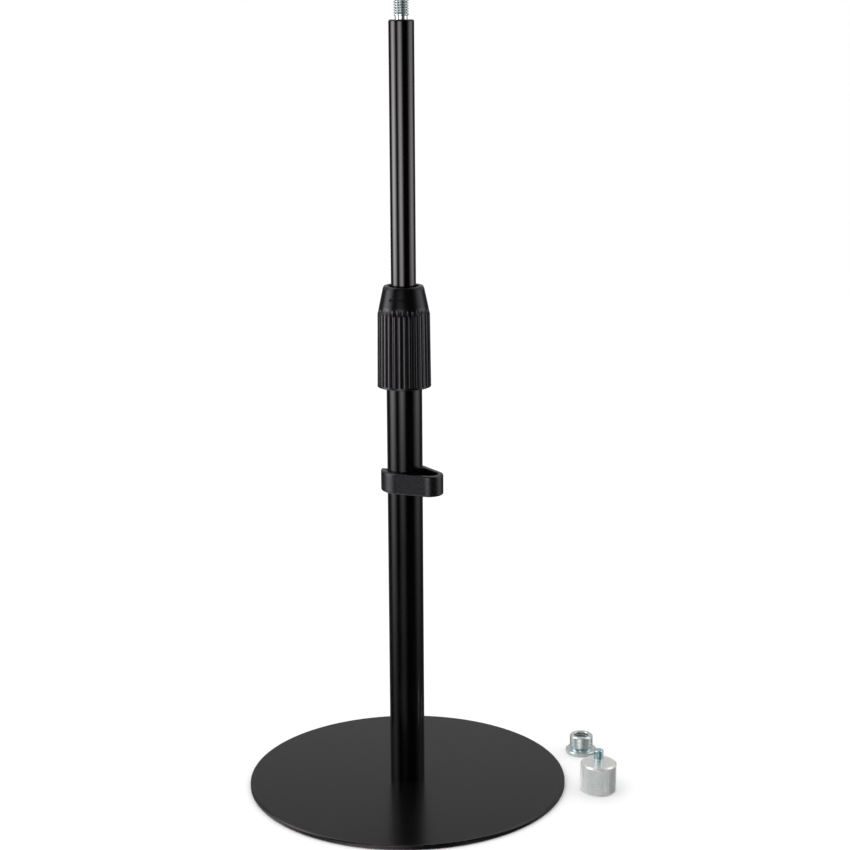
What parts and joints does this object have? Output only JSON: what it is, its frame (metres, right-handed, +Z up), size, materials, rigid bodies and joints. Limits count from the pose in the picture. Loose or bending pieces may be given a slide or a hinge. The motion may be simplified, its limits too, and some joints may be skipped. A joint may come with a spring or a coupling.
{
  "type": "desktop microphone stand",
  "caption": "Desktop microphone stand: round steel base, telescopic pole with a fluted twist clutch, a cable clip, a threaded stud and loose thread adapters.",
  "frame": {"origin": "centre of the resting face, under the pole", "axes": "+Z up along the pole; -Y is the front; the cable clip points to the front right, 40 degrees from +X towards -Y"},
  "size_m": [0.245, 0.212, 0.515],
  "materials": {
    "base_paint": "satin black powder coat",
    "tube_paint": "smooth semi-gloss black",
    "grip_plastic": "satin black moulded plastic",
    "clip_plastic": "fine-grained black moulded plastic",
    "guide_plastic": "natural acetal",
    "bright_zinc": "bright zinc plate with a faint blue tint",
    "dark_steel": "black oxide steel",
    "foot_rubber": "matt anti-slip sheet"
  },
  "bodies": {
    "base": {"base_plate": "base_paint", "foot_pad": "foot_rubber", "base_screw": "bright_zinc", "tube_plug": "dark_steel", "lower_tube": "tube_paint", "clutch_sleeve": "dark_steel"},
    "collet": {"clutch_collet": "guide_plastic"},
    "grip": {"clutch_nut": "grip_plastic", "clutch_grip": "grip_plastic"},
    "guide": {"guide_bush": "guide_plastic"},
    "mast": {"inner_tube": "tube_paint", "top_plug": "dark_steel", "thread_stud": "bright_zinc"},
    "clip": {"cable_clip": "clip_plastic"},
    "bushing": {"thread_bushing": "bright_zinc"},
    "adapter": {"camera_adapter": "bright_zinc"}
  },
  "joints": [
    {"name": "mast_height", "type": "slide", "parent": "base", "child": "guide", "axis": [0, 0, 1], "range_m": [-0.16, 0.09]},
    {"name": "mast_turn", "type": "hinge", "parent": "guide", "child": "mast", "pos_m": [0, 0, 0.19], "axis": [0, 0, 1], "continuous": true},
    {"name": "clutch_lift", "type": "slide", "parent": "base", "child": "collet", "axis": [0, 0, 1], "range_m": [0, 0.0015]},
    {"name": "clutch_turn", "type": "hinge", "parent": "collet", "child": "grip", "pos_m": [0, 0, 0.3], "axis": [0, 0, 1], "range_deg": [0, 270]},
    {"name": "clip_height", "type": "slide", "parent": "base", "child": "clip", "axis": [0, 0, 1], "range_m": [-0.199, 0.054]},
    {"name": "bushing_lift", "type": "slide", "parent": "base", "child": "bushing", "axis": [0, 0, 1], "range_m": [0, 0.06]},
    {"name": "adapter_lift", "type": "slide", "parent": "base", "child": "adapter", "axis": [0, 0, 1], "range_m": [0, 0.06]}
  ],
  "couplings": [
    {"joint": "clutch_lift", "follows": "clutch_turn", "m_per_rad": 0.0003183}
  ]
}
